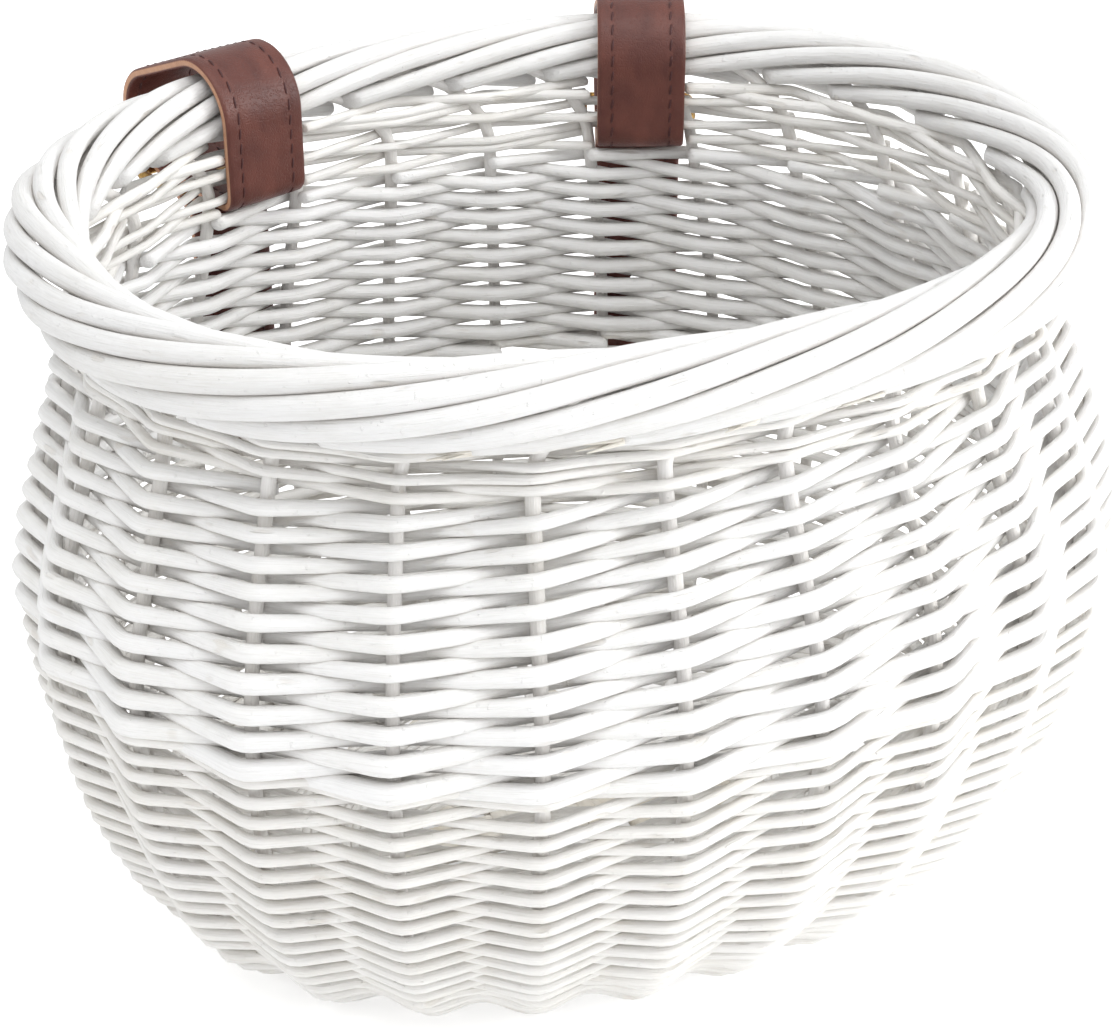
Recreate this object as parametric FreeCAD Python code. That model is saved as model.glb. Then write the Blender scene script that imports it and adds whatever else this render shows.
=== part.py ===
import FreeCAD, Part
import math
import os

# A handlebar basket: painted willow weave on 24 stakes, a rolled border, and two buckled leather straps.
# +X is to the right, +Y is towards the bicycle (the strap side), +Z is up.
# Lengths are in mm, angles in degrees.
# The wall is drawn about the middle of its base. The last step moves everything so that the origin is
# under the middle of the whole outline, on the ground.

V = FreeCAD.Vector
GAP = 0.2                       # free space left between neighbouring rods
OUTSIDE_KINK = 0.5              # a weaver bends more sharply outside a stake than inside it
INSIDE_KINK = 0.3
MITRED = 1                      # corner style of a sweep: the two straight lengths meet in a mitre

# Stakes and weavers
STAKES = 24
STAKE_RADIUS = 1.9
LOWER_ROD_RADIUS = 1.3          # fine weavers, from the bottom wale up to the belly
UPPER_ROD_RADIUS = 1.4          # thicker weavers, from the belly up to the strap slots
BOTTOM_WALE_RADIUS = 1.25
TOP_WALE_RADIUS = 1.15
SIDES = ["right", "back", "left", "front"]

# Outline of the stakes' axes at four heights: half width, half depth, middle's y, squareness, height
BASE = (106.5, 70.5, -2.0, 2.15, 5.7)
BELLY = (158.5, 127.0, -9.5, 2.08, 118.0)
NECK = (134.5, 109.0, 2.8, 2.20, 218.0)
LOWER_BULGE = 1.75              # 2 would make the lower wall a quarter ellipse

# Rolled border
RIM = (143.0, 117.5, 2.8, 2.23, 218.0)
BORDER_ROD_RADIUS = 2.85
BORDER_RING_RADIUS = 9.0        # from the border's middle to the rods' axes
BORDER_SPACING = 41.0           # angle between neighbouring rods round the border
BORDER_START = -52.0            # a rod enters at the outer underside, and climbs over the top to the inside
BORDER_BAYS = 6
BORDER_STEPS = 3                # straight lengths of a border rod in each bay

# Rows up the wall, measured along it from the edge of the base
BOTTOM_WALE_START = 5.0
BOTTOM_WALE_STEP = 3.0
BOTTOM_WALE_ROWS = 12
LOWER_START = 44.6
LOWER_STEP = 3.3
LOWER_BAYS = 26
UPPER_BAYS = 19
UPPER_FIRST_STEP = 3.85
UPPER_LAST_STEP = 3.5
TOP_WALE_STEP = 2.75
TOP_WALE_ROWS = 5
BUTT_GAP = 1.2                  # between the two ends of a rod that goes once round
SLOT_ABOVE_WEAVERS = 7.5        # from the highest weaver to the top wale: the straps pass through here
STAKE_TOP_HEIGHT = 208.0
STAKE_LENGTH_STEP = 6.0         # longest straight length in a stake's curve
STAKE_BEND = 16.0               # bend radius where two of its straight lengths meet

# Woven base
LONG_STICKS = 4
LONG_STICK_RADIUS = 2.0
LONG_STICK_PITCH = 4.4
LONG_STICK_SPREAD = 54.5        # half the length over which the long sticks lie side by side
CROSS_STICKS = 8
CROSS_STICK_RADIUS = 3.4
CROSS_STICK_PITCH = 14.0
CROSS_STICK_SPREAD = 11.8       # half the length over which the cross sticks are parallel
BASE_ROD_RADIUS = 1.05
BASE_ROUNDS = 12
BASE_FIRST_ROUND = 0.08         # as a share of the way from the stick bundle to the base's edge
BASE_LAST_ROUND = 0.97
STICK_SHORT_OF_EDGE = 4.0
STICK_BESIDE_STAKE = 6.9        # from a stick's axis at its end to the foot of its stake
STAKE_FOOT = 8.0                # length of stake that lies beside its base stick

# Leather straps, drawn in a local frame: x along the rim, y outwards from the rim's middle, z up
STRAP_BAYS_FROM_MIDDLE = 2
STRAP_WIDTH = 28.0
STRAP_THICKNESS = 3.0
STRAP_ARCH_RADIUS = 16.0        # leather's middle line, over the border
BAR_RADIUS = 12.7               # a handlebar 25.4 across
BAR_OFFSET = 26.0               # bar's axis, out from the rim's middle
BAR_HEIGHT = 209.5
STRAP_SLOT_HEIGHT = 191.3       # where the strap goes out through the wall
EYE_OFFSET = 8.0                # buckle's hinge, out from the rim's middle
EYE_RADIUS = 4.0
EYE_BEND_RADIUS = 4.5           # leather's middle line, where it turns from the wall up to the border
RING_CLEARANCE = 0.7            # round the prong's ring, where it sits in the eye
TAIL_OFFSET = 6.0               # the loose end hangs this far out
RUN_SLOPE = 26.6                # leather's fall from the bar to the buckle
TAIL_TOP = 178.2                # where the loose end bends
TAIL_BEND_RADIUS = 3.4
TAIL_BOTTOM = 98.0
TAIL_TIP_RADIUS = 11.0
TAIL_HOLES = 5
TAIL_FIRST_HOLE = 24.0          # up from the tip
TAIL_HOLE_PITCH = 12.0
TAIL_HOLE_RADIUS = 2.2
PRONG_SLOT_WIDTH = 4.0
PRONG_SLOT_REACH = (0.9, 16.5)  # out from the buckle's hinge
PRONG_SLOT_DEPTH = (-10.8, 2.4)  # below and above the buckle's hinge

# Buckles
WIRE_RADIUS = 1.6
FRAME_LENGTH = 21.0
FRAME_HALF_WIDTH = 18.0
FRAME_CORNER = 3.4
PRONG_RADIUS = 1.1
PRONG_RING_RADIUS = 3.3
PRONG_RING_WIDTH = 3.6
PRONG_PAST_FRAME = 2.5          # the prong's tip shows beyond the frame's far bar
HINGE_CLEARANCE = 0.1


# ---------------------------------------------------------------- the wall's surface

def unit_outline(turn, squareness):
    """A point of a superellipse one unit across each way, at a turn in degrees from +X."""
    angle = math.radians(turn)
    c, s = math.cos(angle), math.sin(angle)
    reach = (abs(c) ** squareness + abs(s) ** squareness) ** (-1.0 / squareness)
    return reach * c, reach * s


def outline_point(section, turn):
    half_width, half_depth, middle_y, squareness, height = section
    across, along = unit_outline(turn, squareness)
    return V(half_width * across, middle_y + half_depth * along, height)


def blend(a, b, share):
    return tuple(x + (y - x) * share for x, y in zip(a, b))


def lower_section(share):
    """Wall outline from the base (0) to the belly (1)."""
    angle = share * math.pi / 2
    spread = math.sin(angle) ** (2 / LOWER_BULGE)
    rise = 1 - math.cos(angle) ** (2 / LOWER_BULGE)
    flat = blend(BASE, BELLY, spread)
    return flat[:4] + (BASE[4] + (BELLY[4] - BASE[4]) * rise,)


def upper_section(share):
    """Wall outline from the belly (0) to the neck (1)."""
    drawn_in = (1 - math.cos(math.pi * share)) / 2
    flat = blend(BELLY, NECK, drawn_in)
    return flat[:4] + (BELLY[4] + (NECK[4] - BELLY[4]) * share,)


def measured_sections(section_at, samples=160):
    """Sections with their distance along the wall, taken half-way between its sides and its front."""
    table, distance, last = [], 0.0, None
    for i in range(samples + 1):
        section = section_at(i / samples)
        here = V((section[0] + section[1]) / 2, 0, section[4])
        if last is not None:
            distance += (here - last).Length
        table.append((distance, section))
        last = here
    return table


LOWER_TABLE = measured_sections(lower_section)
BELLY_LENGTH = LOWER_TABLE[-1][0]
UPPER_TABLE = [(BELLY_LENGTH + d, s) for d, s in measured_sections(upper_section)]
WALL_TABLE = LOWER_TABLE + UPPER_TABLE[1:]


def wall_section(length):
    """Wall outline at a distance along the wall from the base's edge."""
    for (start, a), (end, b) in zip(WALL_TABLE, WALL_TABLE[1:]):
        if length <= end:
            return blend(a, b, (length - start) / (end - start))
    return WALL_TABLE[-1][1]


def wall_point(length, turn, offset=0.0):
    """A point on the wall, moved outwards at right angles to it."""
    section = wall_section(length)
    here = outline_point(section, turn)
    if offset == 0:
        return here
    round_wall = outline_point(section, turn + 0.5) - outline_point(section, turn - 0.5)
    up_wall = outline_point(wall_section(length + 1.0), turn) - here
    return here + round_wall.cross(up_wall).normalize() * offset


def length_at_height(height):
    return min(WALL_TABLE, key=lambda row: abs(row[1][4] - height))[0]


def evenly_spaced_turns(section, count, samples=720):
    """Turns that share an outline's length equally, with the first half a space past +X."""
    turns = [360.0 * i / samples for i in range(samples + 1)]
    points = [outline_point(section, t) for t in turns]
    travelled = [0.0]
    for a, b in zip(points, points[1:]):
        travelled.append(travelled[-1] + (b - a).Length)
    found, k = [], 0
    for i in range(count):
        wanted = travelled[-1] * (i + 0.5) / count
        while travelled[k + 1] < wanted:
            k += 1
        share = (wanted - travelled[k]) / (travelled[k + 1] - travelled[k])
        found.append(turns[k] + share * (turns[k + 1] - turns[k]))
    return found


STAKE_TURNS = evenly_spaced_turns(BELLY, STAKES)


def stake_turn(index):
    """Turn of a stake, counted on round the basket as far as needed."""
    laps, i = divmod(index, STAKES)
    return STAKE_TURNS[i] + 360.0 * laps


def bay_turn(index, share):
    """Turn at a share of the way from one stake to the next."""
    return stake_turn(index) + (stake_turn(index + 1) - stake_turn(index)) * share


# ---------------------------------------------------------------- rods

def rod(points, radius):
    """A willow rod of straight lengths with mitred corners."""
    path = Part.Wire([Part.makeLine(a, b) for a, b in zip(points, points[1:])])
    ring = Part.Wire(Part.makeCircle(radius, points[0], points[1] - points[0]))
    return path.makePipeShell([ring], True, False, MITRED)


def smooth_path(points, bend_radius):
    """Edges through a path whose corners are rounded with tangent arcs."""
    edges, here = [], points[0]
    for before, corner, after in zip(points, points[1:], points[2:]):
        back = (before - corner).normalize()
        ahead = (after - corner).normalize()
        half_turn = (math.pi - back.getAngle(ahead)) / 2
        tangent = bend_radius * math.tan(half_turn)
        bisector = (back + ahead).normalize()
        centre = corner + bisector * (bend_radius / math.cos(half_turn))
        arc_end = corner + ahead * tangent
        edges.append(Part.makeLine(here, corner + back * tangent))
        edges.append(Part.Arc(corner + back * tangent, centre - bisector * bend_radius, arc_end).toShape())
        here = arc_end
    edges.append(Part.makeLine(here, points[-1]))
    return edges


def wall_weaver(first_stake, levels, radius, goes_inside):
    """Path of a weaver that passes stake after stake, outside or inside them, at the given levels."""
    reach = STAKE_RADIUS + radius + GAP
    points = []
    for step, level in enumerate(levels):
        offset = -(reach + INSIDE_KINK) if goes_inside(step) else reach + OUTSIDE_KINK
        points.append(wall_point(level, stake_turn(first_stake + step), offset))
    return points


def once_round(points):
    """The path of a rod whose end stops just short of its start."""
    last = points[-1] + (points[-2] - points[-1]).normalize() * BUTT_GAP
    return points[:-1] + [last]


def every_second(step):
    return step % 2 == 1


def every_third(step):
    return step % 3 == 2


def lower_weavers():
    levels = [LOWER_START + LOWER_STEP * i for i in range(LOWER_BAYS + 1)]
    paths = [wall_weaver(i, levels, LOWER_ROD_RADIUS, every_second) for i in range(STAKES)]
    return [rod(path, LOWER_ROD_RADIUS) for path in paths]


def upper_levels():
    level = LOWER_START + LOWER_STEP * LOWER_BAYS + (LOWER_STEP + UPPER_FIRST_STEP) / 2
    levels = [level]
    for i in range(UPPER_BAYS):
        share = i / (UPPER_BAYS - 1)
        level += UPPER_FIRST_STEP + (UPPER_LAST_STEP - UPPER_FIRST_STEP) * share
        levels.append(level)
    return levels


def upper_weavers():
    levels = upper_levels()
    paths = [wall_weaver(i + 1, levels, UPPER_ROD_RADIUS, every_second) for i in range(STAKES)]
    return [rod(path, UPPER_ROD_RADIUS) for path in paths]


def wale(start, step, radius, rows):
    """Level rows of wale: each passes in front of two stakes and behind the third, a stake on every row."""
    rods = []
    for row in range(rows):
        levels = [start + step * row] * (STAKES + 1)
        rods.append(rod(once_round(wall_weaver(row, levels, radius, every_third)), radius))
    return rods


def bottom_wale():
    return wale(BOTTOM_WALE_START, BOTTOM_WALE_STEP, BOTTOM_WALE_RADIUS, BOTTOM_WALE_ROWS)


def top_wale():
    return wale(upper_levels()[-1] + SLOT_ABOVE_WEAVERS, TOP_WALE_STEP, TOP_WALE_RADIUS, TOP_WALE_ROWS)


# ---------------------------------------------------------------- stakes and border

def border_point(index, share, angle):
    """A point in the rolled border, at an angle round it from its outer side, over the top."""
    turn = bay_turn(index, share)
    middle = outline_point(RIM, turn)
    along = outline_point(RIM, turn + 0.5) - outline_point(RIM, turn - 0.5)
    outwards = V(along.y, -along.x, 0).normalize()
    a = math.radians(angle)
    return middle + outwards * (BORDER_RING_RADIUS * math.cos(a)) + V(0, 0, BORDER_RING_RADIUS * math.sin(a))


def border_rod(first_stake):
    """One rod of the border: from its outer underside, over the top and down inside it."""
    points = []
    for k in range(BORDER_BAYS * BORDER_STEPS + 1):
        bays = k / BORDER_STEPS
        whole = int(bays)
        angle = BORDER_START + BORDER_SPACING * bays
        points.append(border_point(first_stake + whole, bays - whole, angle))
    return rod(points, BORDER_ROD_RADIUS)


def stick_start(place):
    """Where a base stick leaves the bundle. Places run round from the first long stick on the right."""
    side, order = divmod(place % STAKES, STAKES // 2)
    facing = 1 if side == 0 else -1
    if order < LONG_STICKS:
        across = (order - (LONG_STICKS - 1) / 2) * LONG_STICK_PITCH
        return V(facing * LONG_STICK_SPREAD, BASE[2] + facing * across, BASE[4])
    across = ((CROSS_STICKS - 1) / 2 - (order - LONG_STICKS)) * CROSS_STICK_PITCH
    return V(facing * across, BASE[2] + facing * CROSS_STICK_SPREAD, BASE[4])


def stick_direction(index):
    """Level direction from a stake's foot to where its base stick leaves the bundle."""
    return (stick_start(index + LONG_STICKS // 2) - wall_point(0, stake_turn(index))).normalize()


def stake(index):
    turn = stake_turn(index)
    foot = wall_point(0, turn) + stick_direction(index) * STAKE_FOOT
    top = length_at_height(STAKE_TOP_HEIGHT)
    count = math.ceil(top / STAKE_LENGTH_STEP)
    wall = [wall_point(top * i / count, turn) for i in range(count + 1)]
    ring = Part.Wire(Part.makeCircle(STAKE_RADIUS, foot, wall[0] - foot))
    return Part.Wire(smooth_path([foot] + wall, STAKE_BEND)).makePipeShell([ring], True, False)


def by_side(solids):
    """Solids that start at successive stakes, grouped by the side of the basket that they start on."""
    groups = {side: [] for side in SIDES}
    for i, solid in enumerate(solids):
        quarter = (i * 4 + STAKES // 2) // STAKES % 4
        groups[SIDES[quarter]].append(solid)
    return groups


# ---------------------------------------------------------------- woven base

def stick_end(index):
    """Where a stake's base stick ends: beside the stake's foot, towards the next stake round."""
    inwards = stick_direction(index)
    sideways = V(0, 0, 1).cross(inwards)
    edge = wall_point(0, stake_turn(index))
    return edge + inwards * STICK_SHORT_OF_EDGE + sideways * STICK_BESIDE_STAKE


def half_stick(place):
    """The two ends of the straight length from the bundle to the base's edge."""
    return stick_start(place), stick_end(place - LONG_STICKS // 2)


def whole_sticks(first_place, count, radius):
    """Sticks right across the base, each from one place to the place that faces it."""
    sticks = []
    for k in range(count):
        near_start, near_end = half_stick(first_place + k)
        far_start, far_end = half_stick(STAKES // 2 + first_place + count - 1 - k)
        sticks.append(rod([near_end, near_start, far_start, far_end], radius))
    return sticks


def long_sticks():
    return whole_sticks(0, LONG_STICKS, LONG_STICK_RADIUS)


def cross_sticks():
    """Thick sticks, each slit through its middle for the long sticks."""
    length = CROSS_STICKS * CROSS_STICK_PITCH
    width = LONG_STICKS * LONG_STICK_PITCH
    corner = V(-length / 2, BASE[2] - width / 2, BASE[4] - LONG_STICK_PITCH / 2)
    slit = Part.makeBox(length, width, LONG_STICK_PITCH, corner)
    return [stick.cut(slit) for stick in whole_sticks(LONG_STICKS, CROSS_STICKS, CROSS_STICK_RADIUS)]


def base_pairing():
    """Two rods for each round of the base: one lies over the sticks and one under them."""
    reach = CROSS_STICK_RADIUS + BASE_ROD_RADIUS + GAP
    rods = []
    for number in range(BASE_ROUNDS):
        points = []
        for place in range(STAKES + 1):
            rounds = (number + place / STAKES) / BASE_ROUNDS
            share = BASE_FIRST_ROUND + (BASE_LAST_ROUND - BASE_FIRST_ROUND) * rounds
            start, end = half_stick(place)
            points.append(start + (end - start) * share)
        for side in (1, -1):
            lifted = [point + V(0, 0, side * reach) for point in points]
            rods.append(rod(once_round(lifted), BASE_ROD_RADIUS))
    return rods


# ---------------------------------------------------------------- straps and buckles

def on_circle(middle_y, middle_z, radius, angle):
    a = math.radians(angle)
    return V(0, middle_y + radius * math.cos(a), middle_z + radius * math.sin(a))


def arc_between(middle_y, middle_z, radius, start, end):
    middle = (start + end) / 2
    return Part.Arc(on_circle(middle_y, middle_z, radius, start),
                    on_circle(middle_y, middle_z, radius, middle),
                    on_circle(middle_y, middle_z, radius, end)).toShape()


def strap_path():
    """Middle line of the leather: buckle, wall, over the border, round the bar, past the buckle, down."""
    rim_z = RIM[4]
    bar_path = BAR_RADIUS + STRAP_THICKNESS / 2
    reach = math.hypot(BAR_OFFSET, BAR_HEIGHT - rim_z)
    lean = math.degrees(math.atan2(BAR_HEIGHT - rim_z, BAR_OFFSET))
    top = lean + math.degrees(math.acos((STRAP_ARCH_RADIUS - bar_path) / reach))
    leave = RUN_SLOPE - 90
    run_start = on_circle(BAR_OFFSET, BAR_HEIGHT, bar_path, leave)
    fall = math.tan(math.radians(RUN_SLOPE))
    tail_corner = V(0, TAIL_OFFSET, run_start.z - (run_start.y - TAIL_OFFSET) * fall)
    inside = smooth_path([V(0, EYE_OFFSET - EYE_RADIUS / 2, STRAP_SLOT_HEIGHT),
                          V(0, -STRAP_ARCH_RADIUS, STRAP_SLOT_HEIGHT),
                          V(0, -STRAP_ARCH_RADIUS, rim_z)], EYE_BEND_RADIUS)
    over = arc_between(0, rim_z, STRAP_ARCH_RADIUS, 180, top)
    across = Part.makeLine(on_circle(0, rim_z, STRAP_ARCH_RADIUS, top),
                           on_circle(BAR_OFFSET, BAR_HEIGHT, bar_path, top))
    round_bar = arc_between(BAR_OFFSET, BAR_HEIGHT, bar_path, top, leave)
    end = V(0, TAIL_OFFSET, TAIL_TOP + STRAP_THICKNESS / 2 + 3 * GAP)
    down = smooth_path([run_start, tail_corner, end], TAIL_BEND_RADIUS)
    return inside + [over, across, round_bar] + down


def flat_strip(edges, width, thickness):
    """Leather of one width and thickness along a path in the local YZ plane."""
    first = edges[0]
    start, ahead = first.valueAt(first.FirstParameter), first.tangentAt(first.FirstParameter)
    side = V(width / 2, 0, 0)
    rise = ahead.cross(V(1, 0, 0)).normalize() * (thickness / 2)
    corners = [start - side - rise, start + side - rise, start + side + rise, start - side + rise]
    outline = Part.makePolygon(corners + corners[:1])
    return Part.Wire(edges).makePipeShell([outline], True, False, MITRED)


def across_rod(y, z, radius, length):
    """A cylinder along the local X axis, centred on it."""
    return Part.makeCylinder(radius, length, V(-length / 2, y, z), V(1, 0, 0))


def centred_box(width, y_range, z_range):
    return Part.makeBox(width, y_range[1] - y_range[0], z_range[1] - z_range[0],
                        V(-width / 2, y_range[0], z_range[0]))


def strap():
    """The leather from the buckle's eye to the bend of its loose end."""
    y, z = EYE_OFFSET, STRAP_SLOT_HEIGHT
    leather = flat_strip(strap_path(), STRAP_WIDTH, STRAP_THICKNESS)
    eye = across_rod(y, z, EYE_RADIUS, STRAP_WIDTH)
    bore = across_rod(y, z, WIRE_RADIUS + HINGE_CLEARANCE, 2 * STRAP_WIDTH)
    space = EYE_RADIUS + RING_CLEARANCE
    ring_space = centred_box(PRONG_RING_WIDTH + 2 * RING_CLEARANCE, (y - space, y + space),
                             (z - space, z + space))
    prong_slot = centred_box(PRONG_SLOT_WIDTH, [y + reach for reach in PRONG_SLOT_REACH],
                             [z + depth for depth in PRONG_SLOT_DEPTH])
    return leather.fuse(eye).cut(bore).cut(ring_space).cut(prong_slot).removeSplitter()


def strap_tail():
    """The loose end: half-round at its bend, holes for the prong, rounded tip."""
    middle = V(0, TAIL_OFFSET, 0)
    half = STRAP_THICKNESS / 2
    sheet = centred_box(STRAP_WIDTH, (TAIL_OFFSET - half, TAIL_OFFSET + half), (TAIL_BOTTOM, TAIL_TOP))
    bend = across_rod(TAIL_OFFSET, TAIL_TOP, half, STRAP_WIDTH)
    leather = sheet.fuse(bend).removeSplitter()
    tip_edges = [e for e in leather.Edges
                 if abs(e.BoundBox.ZMax - TAIL_BOTTOM) < 0.01 and e.BoundBox.YLength > half]
    leather = leather.makeFillet(TAIL_TIP_RADIUS, tip_edges)
    for i in range(TAIL_HOLES):
        z = TAIL_BOTTOM + TAIL_FIRST_HOLE + i * TAIL_HOLE_PITCH
        hole = Part.makeCylinder(TAIL_HOLE_RADIUS, 4 * half, middle + V(0, -2 * half, z), V(0, 1, 0))
        leather = leather.cut(hole)
    return leather


def buckle_frame():
    """A rounded rectangle of wire. Its near bar is the hinge in the leather's eye."""
    near, far = EYE_OFFSET, EYE_OFFSET + FRAME_LENGTH
    z = STRAP_SLOT_HEIGHT
    halves = []
    for half_width in (-FRAME_HALF_WIDTH, FRAME_HALF_WIDTH):
        corners = [V(0, near, z), V(half_width, near, z), V(half_width, far, z), V(0, far, z)]
        path = Part.Wire(smooth_path(corners, FRAME_CORNER))
        ring = Part.Wire(Part.makeCircle(WIRE_RADIUS, corners[0], corners[1] - corners[0]))
        halves.append(path.makePipeShell([ring], True, False))
    return halves[0].fuse(halves[1]).removeSplitter()


def buckle_prong():
    """A pin on a ring round the near bar, lying under the far bar."""
    y, z = EYE_OFFSET, STRAP_SLOT_HEIGHT
    root = V(0, y + (WIRE_RADIUS + PRONG_RING_RADIUS) / 2, z)
    under_frame = V(0, y + FRAME_LENGTH, z - WIRE_RADIUS - PRONG_RADIUS - 2 * GAP)
    ahead = under_frame - root
    pin = Part.makeCylinder(PRONG_RADIUS, ahead.Length + PRONG_PAST_FRAME, root, ahead)
    ring = across_rod(y, z, PRONG_RING_RADIUS, PRONG_RING_WIDTH)
    bore = across_rod(y, z, WIRE_RADIUS + HINGE_CLEARANCE, 2 * PRONG_RING_WIDTH)
    return pin.fuse(ring).cut(bore).removeSplitter()


def strap_stations():
    """Middle of each strap's bay on the rim, and the angle from the local frame to the basket's."""
    stations = {}
    for name, bay in (("left", STAKES // 4 - 1 + STRAP_BAYS_FROM_MIDDLE),
                      ("right", STAKES // 4 - 1 - STRAP_BAYS_FROM_MIDDLE)):
        turn = bay_turn(bay, 0.5)
        along = outline_point(RIM, turn - 0.5) - outline_point(RIM, turn + 0.5)
        place = outline_point(RIM, turn)
        stations[name] = (V(place.x, place.y, 0), math.degrees(math.atan2(along.y, along.x)))
    return stations


def placed(shape, station):
    place, angle = station
    moved = shape.copy()
    moved.Placement = FreeCAD.Placement(place, FreeCAD.Rotation(V(0, 0, 1), angle)).multiply(moved.Placement)
    return moved


# ---------------------------------------------------------------- assembly

def assembly():
    parts = {}
    for name, solids in (("stakes", [stake(i) for i in range(STAKES)]),
                         ("border_rods", [border_rod(i) for i in range(STAKES)]),
                         ("lower_weavers", lower_weavers()),
                         ("upper_weavers", upper_weavers())):
        for side, group in by_side(solids).items():
            parts[name + "_" + side] = group
    parts["bottom_wale"] = bottom_wale()
    parts["top_wale"] = top_wale()
    parts["base_long_sticks"] = long_sticks()
    parts["base_cross_sticks"] = cross_sticks()
    parts["base_pairing_rods"] = base_pairing()
    pieces = {"strap": strap(), "strap_tail": strap_tail(),
              "buckle_frame": buckle_frame(), "buckle_prong": buckle_prong()}
    for side, station in strap_stations().items():
        for name, shape in pieces.items():
            parts[name + "_" + side] = [placed(shape, station)]
    return parts


def move_to_origin(parts):
    """Put the origin under the middle of the whole outline."""
    box = FreeCAD.BoundBox()
    for solids in parts.values():
        for solid in solids:
            box.add(solid.optimalBoundingBox())
    move = V(-box.Center.x, -box.Center.y, -box.ZMin)
    for solids in parts.values():
        for solid in solids:
            solid.translate(move)
    return move


def main():
    os.makedirs("parts", exist_ok=True)
    parts = assembly()
    move = move_to_origin(parts)
    print("moved by", [round(v, 3) for v in move])
    for name, (place, angle) in strap_stations().items():
        x, y = round(place.x + move.x, 3), round(place.y + move.y, 3)
        print(name, "strap at", x, y, "turned", round(angle, 3))
    for name, solids in parts.items():
        shape = solids[0] if len(solids) == 1 else Part.makeCompound(solids)
        shape.exportStep("parts/" + name + ".step")


main()
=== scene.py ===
import math
import bmesh
import bpy
import numpy as np
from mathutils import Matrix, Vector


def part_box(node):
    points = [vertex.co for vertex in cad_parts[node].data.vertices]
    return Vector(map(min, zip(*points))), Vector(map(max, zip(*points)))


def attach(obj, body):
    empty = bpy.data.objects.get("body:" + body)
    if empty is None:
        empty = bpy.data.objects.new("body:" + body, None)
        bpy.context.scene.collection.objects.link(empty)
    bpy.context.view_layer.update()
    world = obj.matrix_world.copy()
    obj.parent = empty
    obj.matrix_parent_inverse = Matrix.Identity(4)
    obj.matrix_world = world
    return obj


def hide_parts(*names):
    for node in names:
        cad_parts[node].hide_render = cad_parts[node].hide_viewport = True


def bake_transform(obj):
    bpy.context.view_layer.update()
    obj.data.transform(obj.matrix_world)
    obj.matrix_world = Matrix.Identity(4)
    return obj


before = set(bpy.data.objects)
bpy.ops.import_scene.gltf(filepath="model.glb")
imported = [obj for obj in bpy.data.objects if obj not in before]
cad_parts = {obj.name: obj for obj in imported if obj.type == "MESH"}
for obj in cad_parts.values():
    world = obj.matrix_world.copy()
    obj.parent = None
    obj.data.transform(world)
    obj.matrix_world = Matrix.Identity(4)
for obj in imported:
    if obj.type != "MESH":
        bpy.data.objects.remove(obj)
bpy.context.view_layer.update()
random = np.random.default_rng(7)

# All lengths are in mm until a mesh is made. MM turns them into the frame's metres.
MM = 0.001
SIDES = ["right", "back", "left", "front"]


def union_box(*nodes):
    """Lowest and highest corners round several frame nodes."""
    corners = np.array([np.array(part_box(node)) / MM for node in nodes])
    return corners[:, 0].min(0), corners[:, 1].max(0)


# ---------------------------------------------------------------- the wall, as in the frame

STAKES = 24
STRAP_BAYS = {"left": 7, "right": 3}        # each strap hangs between this stake and the next
rim_low, rim_high = union_box(*["border_rods_" + side for side in SIDES])
RIM_BEHIND = 2.8                            # the rim's middle, behind the wall's own middle
MIDDLE_Y = (rim_low[1] + rim_high[1]) / 2 - RIM_BEHIND

# Sections of the wall: half width, half depth, middle's y, squareness and height.
BASE = np.array([106.5, 70.5, -2.0, 2.15, 5.7])
BELLY = np.array([158.5, 127.0, -9.5, 2.08, 118.0])
NECK = np.array([134.5, 109.0, RIM_BEHIND, 2.20, 218.0])
RIM = np.array([143.0, 117.5, RIM_BEHIND, 2.23, 218.0])
LOWER_BULGE = 1.75


def wall_table(samples=160):
    """Rows of distance up the wall, half width, half depth, middle's y, squareness and height."""
    share = np.linspace(0, 1, samples + 1)
    angle = share * math.pi / 2
    spread = np.sin(angle) ** (2 / LOWER_BULGE)
    lower = BASE + (BELLY - BASE) * spread[:, None]
    lower[:, 4] = BASE[4] + (BELLY[4] - BASE[4]) * (1 - np.cos(angle) ** (2 / LOWER_BULGE))
    upper = BELLY + (NECK - BELLY) * ((1 - np.cos(math.pi * share)) / 2)[:, None]
    upper[:, 4] = BELLY[4] + (NECK[4] - BELLY[4]) * share
    rows = np.vstack([lower, upper[1:]])
    steps = np.hypot(np.diff((rows[:, 0] + rows[:, 1]) / 2), np.diff(rows[:, 4]))
    return np.column_stack([np.concatenate([[0], np.cumsum(steps)]), rows])


WALL = wall_table()


def outline(section, turn):
    """Points of a superellipse section at turns in degrees from +X."""
    half_width, half_depth, middle_y, squareness, height = section
    c, s = np.cos(np.radians(turn)), np.sin(np.radians(turn))
    reach = (np.abs(c) ** squareness + np.abs(s) ** squareness) ** (-1.0 / squareness)
    y = MIDDLE_Y + middle_y + half_depth * reach * s
    return np.stack([half_width * reach * c, y, height + 0 * reach], -1)


def section_at(length):
    """The wall's section at a distance up the wall."""
    return [np.interp(length, WALL[:, 0], WALL[:, k]) for k in range(1, 6)]


def normalised(vectors):
    return vectors / np.linalg.norm(vectors, axis=-1, keepdims=True)


def on_wall(length, turn):
    """Points on the wall with their outward normals and upward directions."""
    length, turn = np.broadcast_arrays(np.asarray(length, float), np.asarray(turn, float))
    here = outline(section_at(length), turn)
    around = outline(section_at(length), turn + 0.5) - outline(section_at(length), turn - 0.5)
    up = outline(section_at(length + 1.0), turn) - outline(section_at(length - 1.0), turn)
    return here, normalised(np.cross(around, up)), normalised(up)


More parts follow.
